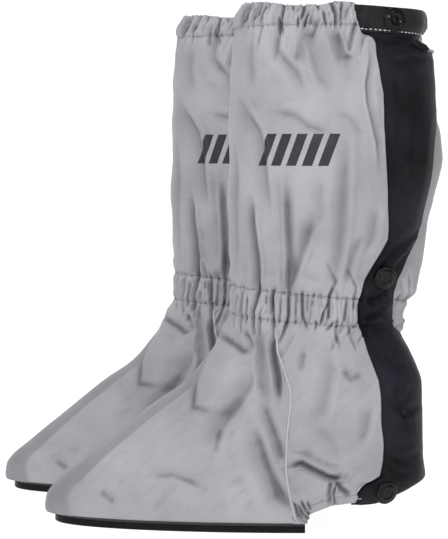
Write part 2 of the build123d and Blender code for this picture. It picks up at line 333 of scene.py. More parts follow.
ANKLE_FOLDS = [
    ([(-50.5, 204), (-50, 186), (-51, 168)], 0.8, 3.4, 0.3, 0.35),
    ([(-47.5, 197), (-48, 178)], 0.8, 2.4, 0.0, 0.35),
    ([(-39.5, 196), (-40, 184), (-42, 170)], 0.9, 2.9, -0.3, 0.35),
    ([(-29, 186), (-30, 172), (-31, 160)], 0.9, 2.6, 0.3, 0.35),
    ([(-13, 197), (-13.5, 186), (-15, 172)], 0.9, 2.6, 0.3, 0.35),
    ([(-1, 196), (-1.5, 184), (-2, 172)], 0.8, 2.0, -0.3, 0.35),
    ([(9, 194), (8.5, 182)], 0.8, 1.8, 0.3, 0.35),
    ([(-43.5, 204), (-44, 186), (-46, 164)], 1.1, 3.9, 0.3, 0.35),
    ([(-31, 210), (-31.6, 199), (-35, 179), (-35.4, 160)], 1.1, 4.2, 0.3, 0.35),
    ([(-25, 197), (-25, 188)], 0.9, 2.3, 0.0, 0.3),
    ([(-20, 203), (-19.2, 177), (-17.4, 158)], 1.2, 4.2, 0.3, 0.4),
    ([(-7, 206), (-7.6, 179), (-11.6, 166), (-17, 154)], 1.2, 4.1, -0.3, 0.4),
    ([(4.5, 202), (4.5, 180), (9, 168)], 1.1, 3.9, 0.3, 0.35),
    ([(14, 200), (11.6, 187)], 0.9, 2.3, 0.3, 0.3),
    ([(26, 194), (21, 182), (17.5, 170)], 1.0, 3.3, -0.3, 0.35),
    ([(32, 208), (26.4, 196), (25.4, 175)], 1.1, 3.7, 0.3, 0.35),
    ([(41, 196), (38.8, 172)], 1.0, 3.2, 0.3, 0.35),
    ([(47, 200), (46, 184)], 1.0, 2.4, 0.3, 0.3),
    ([(33, 178), (32, 164), (36, 152)], 1.1, 2.7, 0.3, 0.35),
    ([(42, 176), (44, 162), (50, 150)], 1.1, 2.3, 0.3, 0.35),
]
FOOT_FOLDS = [
    ([(-19.5, 165), (-18, 146), (-14.5, 128), (-14.5, 110)], 2.3, 8.4, 0.45, 0.4),
    ([(-33, 172), (-31, 150), (-30, 126), (-24, 104)], 3.6, 4.8, -0.2, 0.35),
    ([(-66, 160), (-53, 154), (-45, 149), (-36, 151)], 3.2, 3.6, -0.3, 0.5),
    ([(-42, 166), (-38, 158), (-36, 151)], 2.2, 3.4, 0.3, 0.4),
    ([(-35, 134), (-42, 120), (-52, 106), (-64, 88), (-70, 64)], 6.5, 7.5, 0.5, 0.4),
    ([(-44, 112), (-54, 101), (-66, 96)], 4.5, 4.0, -0.3, 0.3),
    ([(-78, 138), (-85, 121), (-86, 103), (-66, 99)], 3.4, 3.4, 0.4, 0.35),
    ([(-121, 45), (-103, 47), (-88, 42), (-78, 37)], 3.2, 2.2, -0.3, 0.4),
    ([(-165, 31), (-151, 23)], 4.5, 1.9, 0.0, 0.3),
    ([(-36, 92), (-29, 70), (-23, 52), (-15, 36), (-6, 20)], 5.5, 7.0, 0.4, 0.4),
    ([(-30, 112), (-22, 92), (-15, 74), (-10.5, 56)], 4.2, 5.2, 0.3, 0.35),
    ([(-7, 55), (3, 58), (13, 52.5), (24, 47), (31, 45.5), (40, 47)], 1.9, 7.0, -0.5, 0.9),
    ([(30, 46), (36, 37), (44, 31)], 1.9, 4.1, -0.3, 0.5),
    ([(28, 46), (27, 34), (28, 22)], 1.5, 3.6, 0.3, 0.4),
    ([(32, 42), (30, 32), (32, 22)], 1.2, 2.9, 0.3, 0.4),
    ([(6, 152), (3, 134)], 2.4, 2.6, 0.2, 0.4),
    ([(26, 150), (29, 136), (22, 101), (11, 91)], 5.0, 3.8, 0.3, 0.35),
    ([(37, 136), (45, 128), (55, 131)], 3.4, 3.6, -0.3, 0.4),
    ([(62, 104), (58, 84), (52, 74)], 4.0, 3.4, 0.3, 0.35),
    ([(16, 90), (30, 76), (36, 62)], 5.0, 2.6, 0.2, 0.3),
    ([(-3, 27), (1, 18), (7, 9)], 0.9, 4.6, 0.3, 0.4),
    ([(0, 25), (4, 17), (10, 9)], 0.8, 4.2, -0.3, 0.4),
    ([(-2, 20), (1, 14), (4, 8)], 0.8, 3.6, 0.0, 0.4),
    ([(3, 28), (7, 20), (12, 14)], 0.9, 3.8, 0.3, 0.4),
    ([(8, 27), (11, 20)], 0.8, 2.6, 0.0, 0.4),
    ([(-198, 33), (-190, 37)], 2.2, 1.4, 0.0, 0.3),
]
# the cloth's folds also darken its colour as painted shade
CLOTH_FOLDS = LEG_FOLDS + HEM_FOLDS + ANKLE_FOLDS + FOOT_FOLDS
# the strip's folds also darken the black cloth's colour as painted shade
STRIP_FOLDS = [
    ([(56, 407), (72, 405), (86, 408), (97, 406)], 2.2, 2.4, 0.2, 0.4),
    ([(64, 399), (78, 396), (92, 399)], 3.2, 1.6, -0.2, 0.3),
    ([(104, 250), (92, 240), (78, 228), (66, 212), (58, 202)], 3.2, 3.2, 0.4, 0.5),
    ([(96, 232), (84, 222), (77, 207)], 3.0, 2.4, -0.3, 0.4),
    ([(54, 196), (62, 192), (72, 198), (76, 192)], 2.2, 2.8, 0.3, 0.5),
    ([(52, 180), (60, 177), (70, 181), (76, 176)], 2.4, 2.6, -0.3, 0.5),
    ([(62, 189), (68, 184), (74, 186)], 2.2, 1.8, 0.0, 0.5),
    ([(58, 166), (66, 150), (72, 136)], 3.4, 2.0, 0.3, 0.4),
    ([(88, 130), (84, 112), (92, 92), (96, 72)], 4.4, 2.2, 0.3, 0.4),
    ([(99, 120), (90, 106), (95, 84)], 3.2, 1.8, -0.3, 0.3),
    ([(74, 56), (84, 48), (96, 44)], 3.2, 2.2, 0.2, 0.4),
    ([(78, 380), (84, 350), (82, 318)], 6.0, 2.6, 0.2, 0.3),
    ([(98, 372), (96, 330), (94, 290), (88, 262)], 6.0, 2.8, -0.2, 0.3),
    ([(72, 392), (84, 388), (96, 392), (108, 388)], 3.4, 2.6, 0.3, 0.4),
    ([(76, 312), (86, 296), (90, 276)], 5.0, 2.2, 0.4, 0.3),
    ([(76, 62), (90, 57), (106, 60)], 5.0, 3.4, 0.4, 0.4),
    ([(80, 106), (92, 96), (106, 100)], 4.0, 2.8, -0.4, 0.4),
    ([(72, 150), (80, 140), (94, 134)], 4.0, 2.4, 0.4, 0.4),
]


def soft_noise(a, b, scale, seed):
    """Smooth bumps between -1 and 1, about scale apart."""
    rng = np.random.default_rng(seed)
    total = np.zeros_like(a)
    for _ in range(7):
        angle, shift, stretch = rng.random(3) * (2 * math.pi, 2 * math.pi, 1)
        wave = (a * math.cos(angle) + b * math.sin(angle)) * (0.7 + 0.8 * stretch) / scale
        total += np.sin(wave * 2 * math.pi + shift + 1.3 * np.sin(b / scale * 1.7 + shift))
    return total / 7


def pressed(x, z, folds):
    """All of a list of folds together."""
    total = np.zeros_like(x)
    for points, width, depth, one_sided, lip in folds:
        total += crease(x, z, points, width, depth, one_sided, lip)
    return total


def fold_shade(x, z, folds):
    """How deep each point lies in the folds, in millimetres, with wide folds counted for less; it sets the
    shade painted into the folds.
    """
    shading = [(points, width, depth * min(1, SHARP_FOLD / width), one_sided, 0.0)
               for points, width, depth, one_sided, _ in folds]
    return -pressed(x, z, shading)


def side_relief(s, x, z, seed):
    """Gathers and unevenness of one side of the gaiter."""
    value = 1.7 * soft_noise(s, z, 70, seed) + 0.6 * soft_noise(s, z, 26, seed + 1)
    value += 0.25 * soft_noise(s, z * 0.6, 11, seed + 2) + 0.7 * soft_noise(s, z * 0.35, 21, seed + 4)
    value += hem_gathers(s, z, seed + 3) * smooth(385, 400, z)
    value += ankle_gathers(s, x, z, seed + 7) * smooth(130, 150, z) * (1 - smooth(225, 240, z))
    value += pressed(s, z, scattered_gathers(seed + 20, TOP_ROW_Z, 22, 45, 15))
    above = scattered_gathers(seed + 30, upper_row(0), 40, 16, 13)
    value += pressed(s, z + upper_row(0) - upper_row(x), above)
    below = scattered_gathers(seed + 40, lower_row(0), 10, 34, 13)
    value += pressed(s, z + lower_row(0) - lower_row(x), below)
    return value


def front_band(x, z):
    """1 on the band along the seam from the toe up to the ankle, 0 elsewhere; the band is raised a little
    and darkened with painted shade.
    """
    width = np.interp(z, [10, 30, 60, 110, 146], [24, 18, 13, 10, 0])
    distance = x - curve_through(PROFILE, 1, z)
    return (1 - smooth(width - 1.2, width + 0.3, distance)) * (z < 146)


def relief(phi, x, s, z, strip=False):
    """How far the real cloth stands out from the undisturbed skin, in millimetres."""
    far_side = np.sin(phi) < 0
    outer = np.where(far_side, side_relief(s, x, z, 47), side_relief(s, x, z, 11))
    outer += pressed(x, z, CLOTH_FOLDS)
    near_ridge = np.exp(-(s / 9.0) ** 2) * (1 - smooth(130, 165, z))
    outer *= 1 - 0.85 * near_ridge
    near_sole = (1 - smooth(10, 26, z)) * (x < -4)
    outer *= 1 - 0.9 * near_sole
    outer += FRONT_BAND_HEIGHT * front_band(x, z)
    if strip:
        share = 0.12 + 0.88 * (1 - smooth(0, 12, x - sewn_x(z)))
        calm = share * outer + (1 - share) * pressed(x, z, STRIP_FOLDS)
        calm += 1.1 * soft_noise(x, z, 36, 71)
        crumpled = (1 - smooth(205, 240, z)) * smooth(150, 170, z)
        outer = calm + 0.5 * soft_noise(x, z, 12, 72) * crumpled
    return outer * crumple(z)


def crumple(z):
    """How deep the folds are at a height: deepest at the gathered rows and at the heel's hem."""
    near_ankle = np.exp(-((z - 186) / 20) ** 2)
    near_top = smooth(398, 418, z)
    near_heel_hem = 1 - smooth(30, 50, z)
    gathered = np.maximum(np.maximum(near_ankle, near_top), near_heel_hem)
    return FOLD_SHARE + GATHERED_SHARE * gathered


# ---------------------------------------------------------------- cloth pieces

def outward(points):
    """Unit normals of a grid of points, pointing out of the gaiter."""
    across = np.gradient(points, axis=1)
    up = np.gradient(points, axis=0)
    normal = np.cross(across, up)
    return normal / (np.linalg.norm(normal, axis=2, keepdims=True) + 1e-9)


def eased_rows(angle):
    """An edge with its bends taken out, as the mean of the rows around each row."""
    span = 2 * EASED_ROWS + 1
    return np.convolve(np.pad(angle, EASED_ROWS, mode="edge"), np.full(span, 1 / span), "valid")


def cloth_grid(rows, start, end, columns, depth=0.0, strip=False, row_lift=None, share=1.0):
    """Points of a piece of cloth, their places on it and the shade painted on them, for heights rows and
    angles from start to end.

    start and end are angles, one for each row. depth lowers the cloth, and share lessens its relief; both
    may vary over the grid. row_lift moves each point in height, so that an edge can follow a slanted seam.
    Only the columns near the end follow all the bends of its edge; the others follow it smoothed.
    """
    across = np.linspace(0, 1, columns)[None, :]
    z = np.repeat(rows[:, None], columns, axis=1).astype(float)
    eased = end if strip else eased_rows(end)
    phi = start[:, None] + (eased - start)[:, None] * across + (end - eased)[:, None] * across ** EDGE_POWER
    if row_lift is not None:
        x, _ = skin_at(phi, z)
        z = row_lift(x, z)
    x, y = skin_at(phi, z)
    s = arc_lookup(phi, z)
    base = np.stack([x, y, z], axis=2)
    out = outward(base)
    if start.mean() > end.mean():
        out = -out
    height = relief(phi, x, s, z, strip) * valued(share, phi, x, z)
    lowered = height - valued(depth, phi, x, z)
    return base + out * lowered[:, :, None], np.stack([s, z], axis=2), painted_shade(height, x, z, strip)


def painted_shade(height, x, z, strip):
    """Painted shade on the cloth at each point, from 0 to 1: in hollows, in folds and on the front seam's
    band.
    """
    blurred = height
    for axis in (0, 1):
        for _ in range(2):
            padded = np.pad(blurred, [(3, 3) if k == axis else (0, 0) for k in (0, 1)], mode="edge")
            count = blurred.shape[axis]
            blurred = sum(np.take(padded, range(k, k + count), axis) for k in range(7)) / 7
    # painted shade in hollows, darker where the cloth lies below its blurred surroundings, then painted
    # shade along the listed folds
    dips = np.clip((blurred - height - 0.05) / 1.8, 0, 0.75)
    folded = np.clip(fold_shade(x, z, STRIP_FOLDS if strip else CLOTH_FOLDS) / 6.0, 0, 0.7)
    return np.maximum(np.maximum(dips, folded), FRONT_BAND_PAINTED_SHADE * front_band(x, z))


def valued(number, phi, x, z):
    """A number, or a function's value over the grid."""
    return number(phi, x, z) if callable(number) else number


ARC_Z = np.linspace(6, 440, 218)
ARC_PHI = np.linspace(0, math.pi, 181)


def arc_table():
    """Distance round the skin from its foremost line, for ARC_Z and ARC_PHI."""
    x, y = skin_at(ARC_PHI[None, :], ARC_Z[:, None])
    steps = np.hypot(np.diff(x, axis=1), np.diff(y, axis=1))
    return np.concatenate([np.zeros((len(ARC_Z), 1)), np.cumsum(steps, axis=1)], axis=1)


ARC = arc_table()


def arc_lookup(phi, z):
    """Distance round the skin from its foremost line, the same on both sides."""
    folded = np.where(phi > math.pi, 2 * math.pi - phi, phi)
    row = np.clip((z - ARC_Z[0]) / (ARC_Z[1] - ARC_Z[0]), 0, len(ARC_Z) - 1.001)
    column = np.clip(folded / (ARC_PHI[1] - ARC_PHI[0]), 0, len(ARC_PHI) - 1.001)
    i, j = row.astype(int), column.astype(int)
    u, v = row - i, column - j
    return ((1 - u) * (1 - v) * ARC[i, j] + (1 - u) * v * ARC[i, j + 1]
            + u * (1 - v) * ARC[i + 1, j] + u * v * ARC[i + 1, j + 1])


def origin_of(side):
    """Where the drawn origin of a gaiter is in the frame, and +1 or -1 for the way its y axis runs."""
    low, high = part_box(side + "_outsole")
    return high.x - SOLE_REAR_X * MM, (low.y + high.y) / 2, 1.0 if side == "left" else -1.0


def to_frame(points, side):
    """Drawn millimetres to the frame's metres."""
    x, y, flip = origin_of(side)
    return np.asarray(points, float) * (MM, MM * flip, MM) + (x, y, 0.0)


def mesh_object(name, side, points, faces, places=None):
    """A mesh of one gaiter from drawn points; places become its UV map, in metres."""
    mesh = bpy.data.meshes.new(f"{side}.{name}")
    if side == "right":
        faces = [tuple(reversed(face)) for face in faces]
    mesh.from_pydata(to_frame(points, side).tolist(), [], faces)
    if places is not None:
        layer = mesh.uv_layers.new(name="cloth")
        order = np.zeros(len(mesh.loops), int)
        mesh.loops.foreach_get("vertex_index", order)
        layer.data.foreach_set("uv", (np.asarray(places)[order] * MM).astype(np.float32).ravel())
    mesh.shade_smooth()
    made = bpy.data.objects.new(f"{side}.{name}", mesh)
    bpy.context.scene.collection.objects.link(made)
    return made


def grid_faces(rows, columns, flip):
    """Quads of a grid of rows by columns."""
    faces = []
    for i in range(rows - 1):
        for j in range(columns - 1):
            a = i * columns + j
            quad = (a, a + 1, a + columns + 1, a + columns)
            faces.append(tuple(reversed(quad)) if flip else quad)
    return faces


def thicken(piece, thickness):
    """Give a single layer its thickness, inwards, and apply it."""
    solid = piece.modifiers.new("thickness", "SOLIDIFY")
    solid.thickness = thickness * MM
    solid.offset = -1
    solid.material_offset = 1
    solid.material_offset_rim = 0
    with bpy.context.temp_override(object=piece, active_object=piece, selected_objects=[piece]):
        bpy.ops.object.modifier_apply(modifier=solid.name)


DRAWN = {}


def cloth(name, side, look, rows, start, end, columns, thickness=CLOTH, depth=0.0, strip=False,
          row_lift=None, share=1.0):
    """A piece of cloth with thickness, from a grid on the skin that is drawn once for both sides."""
    start, end = (np.broadcast_to(np.asarray(edge, float), len(rows)) for edge in (start, end))
    if name not in DRAWN:
        DRAWN[name] = cloth_grid(rows, start, end, columns, depth, strip, row_lift, share)
    points, places, dips = DRAWN[name]
    faces = grid_faces(len(rows), columns, start.mean() > end.mean())
    made = mesh_object(name, side, points.reshape(-1, 3), faces, places.reshape(-1, 2))
    # painted shade of creases, hollows and the front band, which the woven materials multiply into their
    # colour
    layer = made.data.attributes.new("painted_shade_amount", "FLOAT", "POINT")
    layer.data.foreach_set("value", dips.ravel().astype(np.float32))
    made.data.materials.append(M[look])
    made.data.materials.append(M["lining" if look in ("grey", "marked") else look])
    thicken(made, thickness)
    return made


def steps_between(low, high, step):
    """Evenly spaced heights from low to high, about step apart."""
    return np.linspace(low, high, max(2, int(round((high - low) / step)) + 1))


# ---------------------------------------------------------------- small parts on the cloth

def unit(vectors):
    """Vectors of length one."""
    return vectors / (np.linalg.norm(vectors, axis=-1, keepdims=True) + 1e-9)


def surface(phi, z, lift=0.0, strip=False, share=1.0):
    """Points on the outside of the cloth, lifted off it, and the directions that point out of it there."""
    phi, z = np.broadcast_arrays(np.asarray(phi, float), np.asarray(z, float))

    def skin(angle, height):
        return np.stack([*skin_at(angle, height), height], axis=-1)

    out = unit(np.cross(skin(phi + 0.01, z) - skin(phi - 0.01, z), skin(phi, z + 0.5) - skin(phi, z - 0.5)))
    base = skin(phi, z)
    height = share * relief(phi, base[..., 0], arc_lookup(phi, z), z, strip) + lift
    return base + out * height[..., None], out


def outer_side(x, z):
    """Angles of points on the side with the closing strip."""
    return phi_of(np.asarray(x, float), np.asarray(z, float))


def sewn_edge(rows, beyond=0.0):
    """Angles of the closing strip's sewn edge, or of a line beyond it."""
    return outer_side(sewn_x(rows) + beyond, rows)


def inner_side(x, z):
    """Angles of points on the other side."""
    return 2 * math.pi - outer_side(x, z)


def along(corners, step):
    """Points along a line of (x, z) corners, evenly spaced."""
    corners = np.array(corners, float)
    reach = np.concatenate([[0], np.cumsum(np.hypot(*np.diff(corners, axis=0).T))])
    at = np.linspace(0, reach[-1], max(3, int(reach[-1] / step)))
    return np.interp(at, reach, corners[:, 0]), np.interp(at, reach, corners[:, 1])


def tube_faces(rings, sides):
    """Faces of a closed tube of so many rings: quads between them, then its first and its last end."""
    faces = []
    for i in range(rings - 1):
        for j in range(sides):
            k = (j + 1) % sides
            faces.append((i * sides + j, i * sides + k, (i + 1) * sides + k, (i + 1) * sides + j))
    faces.append(tuple(reversed(range(sides))))
    faces.append(tuple(range((rings - 1) * sides, rings * sides)))
    return faces


def strand(points, out, radii, flat=1.0, sides=7):
    """A closed tube along points; flat squashes it along the directions out of the cloth."""
    ahead = unit(np.gradient(points, axis=0))
    across = unit(np.cross(ahead, out))
    rise = unit(np.cross(across, ahead))
    turn = np.linspace(0, 2 * math.pi, sides, endpoint=False)
    radii = np.broadcast_to(radii, len(points))
    rings = (points[:, None] + radii[:, None, None] * (across[:, None] * np.cos(turn)[None, :, None]
             + flat * rise[:, None] * np.sin(turn)[None, :, None]))
    return rings.reshape(-1, 3), tube_faces(len(points), sides)


def merged(parts):
    """Several (vertices, faces) as one."""
    vertices, faces, count = [], [], 0
    for part_vertices, part_faces in parts:
        vertices.append(part_vertices)
        faces += [tuple(index + count for index in face) for face in part_faces]
        count += len(part_vertices)
    return np.concatenate(vertices), faces


def stitches(phi, z, length=2.4, gap=1.1, radius=0.28, strip=False, lift=0.12):
    """Thread that lies on the cloth in a row of stitches, along a dense line of angles and heights."""
    points, out = surface(phi, z, lift, strip)
    reach = np.concatenate([[0], np.cumsum(np.linalg.norm(np.diff(points, axis=0), axis=1))])
    share = np.linspace(0, 1, 5)
    parts = []
    start = gap
    while start + length < reach[-1]:
        at = start + share * length
        line = np.stack([np.interp(at, reach, points[:, k]) for k in range(3)], axis=1)
        normal = np.stack([np.interp(at, reach, out[:, k]) for k in range(3)], axis=1)
        line = line + normal * (0.5 * radius * np.sin(math.pi * share) - 0.4 * radius)[:, None]
        parts.append(strand(line, normal, radius * np.array([0.45, 0.95, 1, 0.95, 0.45]), sides=6))
        start += length + gap
    return parts


def lathe(profile, segments=40):
    """A turned part from (radius, height) pairs, about the z axis."""
    turn = np.linspace(0, 2 * math.pi, segments, endpoint=False)
    rings = [np.stack([r * np.cos(turn), r * np.sin(turn), np.full(segments, h)], axis=1)
             for r, h in profile]
    return np.concatenate(rings), tube_faces(len(profile), segments)


def set_on(part, point, out):
    """A turned part stood on a point of the cloth, its axis along the direction out."""
    vertices, faces = part
    axis = mathutils.Vector(out).to_track_quat("Z", "Y").to_matrix()
    return vertices @ np.array(axis).T + point, faces


def dress(piece, side, bodies, slot, *nodes):
    """Gives a piece its body, or applies its transform when it lies between two, and hides the nodes it
    stands for; slot is not used.
    """
    names = [f"{side}_{body}" for body in bodies]
    if len(names) == 1:
        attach(piece, *names)
    else:
        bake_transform(piece)
    if nodes:
        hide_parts(*(f"{side}_{node}" for node in nodes))


def fitted(name, side, parts, look, slot, bodies, *nodes):
    """One piece made of several closed parts."""
    vertices, faces = merged(parts)
    made = mesh_object(name, side, vertices, faces)
    solid = bmesh.new()
    solid.from_mesh(made.data)
    bmesh.ops.recalc_face_normals(solid, faces=solid.faces)
    solid.to_mesh(made.data)
    solid.free()
    made.data.materials.append(M[look])
    dress(made, side, bodies, slot, *nodes)


# ---------------------------------------------------------------- materials

def new_material(name):
    """A node material with its tree, its Principled shader and its output."""
    material = bpy.data.materials.new(name)
    material.use_nodes = True
    tree = material.node_tree
    return material, tree, tree.nodes["Principled BSDF"]


def linked(tree, kind, inputs=None, **settings):
    """A node with its settings, values and links; an input may be a value or another node's output."""
    node = tree.nodes.new(kind)
    for key, value in settings.items():
        setattr(node, key, value)
    for key, value in (inputs or {}).items():
        if isinstance(value, bpy.types.NodeSocket):
            tree.links.new(value, node.inputs[key])
        else:
            node.inputs[key].default_value = value
    return node


def noise(tree, place, scale, detail):
    """Cloudy noise, as the output that holds its value."""
    made = linked(tree, "ShaderNodeTexNoise", {"Vector": place, "Scale": scale, "Detail": detail})
    return made.outputs["Fac"]


def tone(tree, factor, low, high, dark, light):
    """A colour from dark to light as factor goes from low to high."""
    ramp = linked(tree, "ShaderNodeValToRGB", {"Fac": factor})
    ramp.color_ramp.elements[0].position = low
    ramp.color_ramp.elements[0].color = (*dark, 1)
    ramp.color_ramp.elements[1].position = high
    ramp.color_ramp.elements[1].color = (*light, 1)
    return ramp.outputs["Color"]


def printed_bars(tree, place, low, high, left, step, width, slant, count):
    """1 on a printed row of slanted bars, in metres on the cloth, and 0 elsewhere."""
    def calculated(kind, *values, clamped=False):
        inputs = dict(enumerate(values))
        return linked(tree, "ShaderNodeMath", inputs, operation=kind, use_clamp=clamped).outputs[0]

    def edge(value, at):
        return calculated("MULTIPLY", calculated("SUBTRACT", value, at), 3500.0, clamped=True)

    axes = linked(tree, "ShaderNodeSeparateXYZ", {"Vector": place}).outputs
    across = calculated("MULTIPLY_ADD", calculated("SUBTRACT", axes["Y"], low), -slant, axes["X"])
    from_left = calculated("SUBTRACT", across, left)
    in_step = calculated("FLOORED_MODULO", from_left, step)
    on_bar = calculated("MULTIPLY", edge(in_step, step - width), edge(from_left, 0.0))
    before_end = calculated("SUBTRACT", 1.0, edge(from_left, step * count))
    below_top = calculated("SUBTRACT", 1.0, edge(axes["Y"], high))
    in_height = calculated("MULTIPLY", edge(axes["Y"], low), below_top)
    return calculated("MULTIPLY", calculated("MULTIPLY", on_bar, before_end), in_height)


def woven(name, dark, light, roughness, yarn, weave_depth, sheen=0.1, specular=0.35, bars=None):
    """Woven cloth: yarns over and under each other, uneven colour, fine crumples, any print, and the
    painted shade of its creases and hollows.
    """
    material, tree, shader = new_material(name)
    place = linked(tree, "ShaderNodeUVMap", uv_map="cloth").outputs["UV"]
    solid = linked(tree, "ShaderNodeTexCoord").outputs["Object"]
    yarns = {"Vector": place, "Scale": 0.314 / yarn, "Distortion": 0.4}
    warp = linked(tree, "ShaderNodeTexWave", yarns, bands_direction="X").outputs["Fac"]
    weft = linked(tree, "ShaderNodeTexWave", yarns, bands_direction="Y").outputs["Fac"]
    weave = linked(tree, "ShaderNodeMath", {0: warp, 1: weft}, operation="MULTIPLY").outputs[0]
    patches = noise(tree, solid, 22.0, 5.0)
    grain = noise(tree, solid, 900.0, 3.0)
    mixed = linked(tree, "ShaderNodeMath", {0: grain, 1: 0.35, 2: patches}, operation="MULTIPLY_ADD")
    mixed = mixed.outputs[0]
    colour = tone(tree, mixed, 0.5, 0.85, dark, light)
    if bars:
        mask = printed_bars(tree, place, **bars)
        inked = linked(tree, "ShaderNodeMix", data_type="RGBA")
        tree.links.new(mask, inked.inputs["Factor"])
        tree.links.new(colour, inked.inputs["A"])
        inked.inputs["B"].default_value = (0.018, 0.018, 0.02, 1)
        colour = inked.outputs["Result"]
    # painted shade: the colour is multiplied towards a dark blue grey as far as the mesh's painted shade
    # amount goes
    dips = linked(tree, "ShaderNodeAttribute", attribute_name="painted_shade_amount").outputs["Fac"]
    shaded = linked(tree, "ShaderNodeMix", data_type="RGBA", blend_type="MULTIPLY")
    tree.links.new(dips, shaded.inputs["Factor"])
    tree.links.new(colour, shaded.inputs["A"])
    shaded.inputs["B"].default_value = (0.2, 0.2, 0.24, 1)
    tree.links.new(shaded.outputs["Result"], shader.inputs["Base Color"])
    rough = linked(tree, "ShaderNodeMapRange", {"Value": mixed, "From Min": 0.4, "From Max": 0.9,
                                                "To Min": roughness - 0.05, "To Max": roughness + 0.07})
    tree.links.new(rough.outputs["Result"], shader.inputs["Roughness"])
    fine = linked(tree, "ShaderNodeBump",
                  {"Height": weave, "Strength": weave_depth, "Distance": yarn * 0.6})
    coarse = noise(tree, solid, 140.0, 4.0)
    bump = linked(tree, "ShaderNodeBump", {"Height": coarse, "Strength": 0.25, "Distance": 0.0006,
                                           "Normal": fine.outputs["Normal"]})
    tree.links.new(bump.outputs["Normal"], shader.inputs["Normal"])
    shader.inputs["Sheen Weight"].default_value = sheen
    shader.inputs["Sheen Roughness"].default_value = 0.4
    shader.inputs["Specular IOR Level"].default_value = specular
    return material


def plain(name, dark, light, roughness, grain_scale, grain_depth, specular=0.5):
    """Moulded material: a little colour variation and fine surface grain."""
    material, tree, shader = new_material(name)
    solid = linked(tree, "ShaderNodeTexCoord").outputs["Object"]
    grain = noise(tree, solid, grain_scale, 4.0)
    tree.links.new(tone(tree, grain, 0.35, 0.7, dark, light), shader.inputs["Base Color"])
    rough = linked(tree, "ShaderNodeMapRange", {"Value": grain, "To Min": roughness - 0.06,
                                                "To Max": roughness + 0.08})
    tree.links.new(rough.outputs["Result"], shader.inputs["Roughness"])
    bump = linked(tree, "ShaderNodeBump", {"Height": grain, "Strength": grain_depth, "Distance": 0.0003})
    tree.links.new(bump.outputs["Normal"], shader.inputs["Normal"])
    shader.inputs["Specular IOR Level"].default_value = specular
    return material


BARS_X = -37.0
BARS_Z = 303.0
BARS_LEFT = float(arc_lookup(phi_of(np.array(BARS_X), np.array(BARS_Z)), BARS_Z)) * MM
BARS = {"low": 0.303, "high": 0.329, "left": BARS_LEFT, "step": 0.0132, "width": 0.0086, "slant": 0.36,
        "count": 5}
GREY_CLOTH = {"dark": (0.27, 0.272, 0.29), "light": (0.335, 0.338, 0.36), "roughness": 0.5, "yarn": 0.0005,
              "weave_depth": 0.25}
M = {
    "grey": woven("coated_grey_cloth", **GREY_CLOTH),
    "marked": woven("coated_grey_cloth_printed", **GREY_CLOTH, bars=BARS),
    "lining": woven("cloth_lining", (0.36, 0.36, 0.37), (0.44, 0.44, 0.45), 0.75, 0.0006, 0.3),
    "black": woven("black_cloth", (0.002, 0.0019, 0.0033), (0.013, 0.0124, 0.022), 0.4, 0.0006, 0.8,
                   0.0, 0.16),
    "glossy_black": woven("black_tab_cloth", (0.003, 0.003, 0.004), (0.01, 0.01, 0.013), 0.32, 0.0006,
                          0.8, 0.0, 0.3),
    "binding": plain("seam_binding", (0.36, 0.362, 0.38), (0.44, 0.442, 0.46), 0.5, 1500, 0.5),
    "elastic": woven("elastic_band", (0.55, 0.55, 0.55), (0.7, 0.7, 0.7), 0.8, 0.0011, 0.8),
    "hook": plain("hook_tape", (0.012, 0.012, 0.012), (0.03, 0.03, 0.03), 0.7, 1600, 1.0),
    "loop": plain("loop_tape", (0.015, 0.015, 0.016), (0.04, 0.04, 0.042), 0.9, 700, 1.0, 0.1),
    "snap": plain("press_stud", (0.0025, 0.0025, 0.003), (0.005, 0.005, 0.0055), 0.26, 300, 0.15, 0.2),
    "rubber": plain("sole_rubber", (0.002, 0.002, 0.0023), (0.005, 0.005, 0.0055), 0.27, 260, 0.3, 0.12),
    "welt": plain("welt_rubber", (0.003, 0.003, 0.0033), (0.007, 0.007, 0.008), 0.2, 120, 0.5, 0.5),
    "white_thread": plain("white_thread", (0.6, 0.6, 0.6), (0.75, 0.75, 0.75), 0.7, 2000, 0.3),
    "grey_thread": plain("grey_thread", (0.29, 0.29, 0.31), (0.38, 0.38, 0.4), 0.7, 2000, 0.3),
}

# ---------------------------------------------------------------- the pieces of one gaiter

FRONT = 0.0
FULL = 2 * math.pi


def beyond_free_edge(phi, z):
    """Roughly how far a point of the underlap lies clear of the closing strip, in millimetres."""
    return (phi - phi_of(free_x(z), z)) * 70


def under_strip(phi, x, z):
    """The underlap sinks below the closing strip, and is level with the other cloth elsewhere."""
    below = UNDERLAP * (1 - smooth(0, UNDERLAP_RISE, beyond_free_edge(phi, z)))
    return below + UNDERLAP_AT_SEAM * (1 - smooth(2, 16, x - sewn_x(z))) * (phi < math.pi)


def heel_tuck(x):
    """How far the heel's hem is drawn in at the rear, under the strip."""
    return 3.5 * smooth(85, 105, x)


def hem_depth(phi, x, z):
    """The hem sinks below the closing strip, and is drawn in at the rear."""
    return under_strip(phi, x, z) + heel_tuck(x)


def calm_under_strip(phi, x, z):
    """The underlap is smoother than the cloth beside it."""
    return 1 - (1 - UNDERLAP_RELIEF) * (1 - smooth(0, UNDERLAP_RISE, beyond_free_edge(phi, z)))


def strip_depth(phi, x, z):
    """The strip comes out from under the grey cloth, and its free edge lies down on the underlap."""
    edge = free_x(z) - x
    return 2.5 - 1.9 * smooth(0, 10, x - sewn_x(z)) + 1.3 * (1 - smooth(0, 9, edge))


def between_rows(low, high, bottom, top):
    """Slants rows at heights low to high, so that they run between two seams."""
    def lift(x, z):
        share = (z - low) / (high - low)
        return bottom(x) + share * (top(x) - bottom(x))
    return lift


